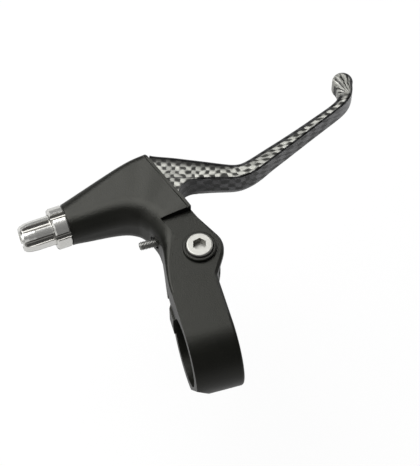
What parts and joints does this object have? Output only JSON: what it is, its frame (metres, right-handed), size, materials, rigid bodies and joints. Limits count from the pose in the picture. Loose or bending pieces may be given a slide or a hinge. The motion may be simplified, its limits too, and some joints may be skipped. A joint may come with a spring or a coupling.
{
  "type": "bicycle brake lever",
  "caption": "Bicycle brake lever: a curved finger blade pivots in a black bar-clamp bracket, with a reach screw behind it and a fluted barrel adjuster where the cable enters.",
  "frame": {"origin": "centre of the handlebar clamp bore, halfway along its width", "axes": "+X along the handlebar towards the tip of the lever, +Y from the bar towards the pivot, +Z along the pivot axis on the side of the socket head"},
  "size_m": [0.1225, 0.0977, 0.0315],
  "materials": {
    "bracket": "matt black powder coat on cast aluminium",
    "lever_blade": "grey and silver woven composite under a gloss clear coat",
    "pivot_bolt": "satin steel",
    "upper_pivot_bush": "black bearing plastic",
    "lower_pivot_bush": "black bearing plastic",
    "pivot_nut": "zinc-plated steel",
    "reach_screw": "plain steel",
    "barrel_adjuster": "polished bright",
    "adjuster_locknut": "polished bright",
    "clamp_bolt": "zinc-plated steel"
  },
  "bodies": {
    "base": {"bracket": "bracket", "pivot_bolt": "pivot_bolt", "pivot_nut": "pivot_nut", "clamp_bolt": "clamp_bolt"},
    "lever": {"lever_blade": "lever_blade", "upper_pivot_bush": "upper_pivot_bush", "lower_pivot_bush": "lower_pivot_bush"},
    "adjuster": {"barrel_adjuster": "barrel_adjuster"},
    "lock_ring": {"adjuster_locknut": "adjuster_locknut"},
    "reach_stop": {"reach_screw": "reach_screw"}
  },
  "joints": [
    {"name": "lever_pivot", "type": "hinge", "parent": "base", "child": "lever", "pos_m": [0.0051, 0.0274, 0.0061], "axis": [0, 0, 1], "range_deg": [-38, 0]},
    {"name": "adjuster_out", "type": "slide", "parent": "base", "child": "adjuster", "axis": [-0.9962, -0.0872, 0], "range_m": [0, 0.006]},
    {"name": "lock_ring_turn", "type": "hinge", "parent": "base", "child": "lock_ring", "pos_m": [-0.035, 0.052, 0.0061], "axis": [0.9962, 0.0872, 0], "continuous": true},
    {"name": "reach_screw_out", "type": "slide", "parent": "base", "child": "reach_stop", "axis": [-1, 0, 0], "range_m": [0, 0.003]}
  ]
}
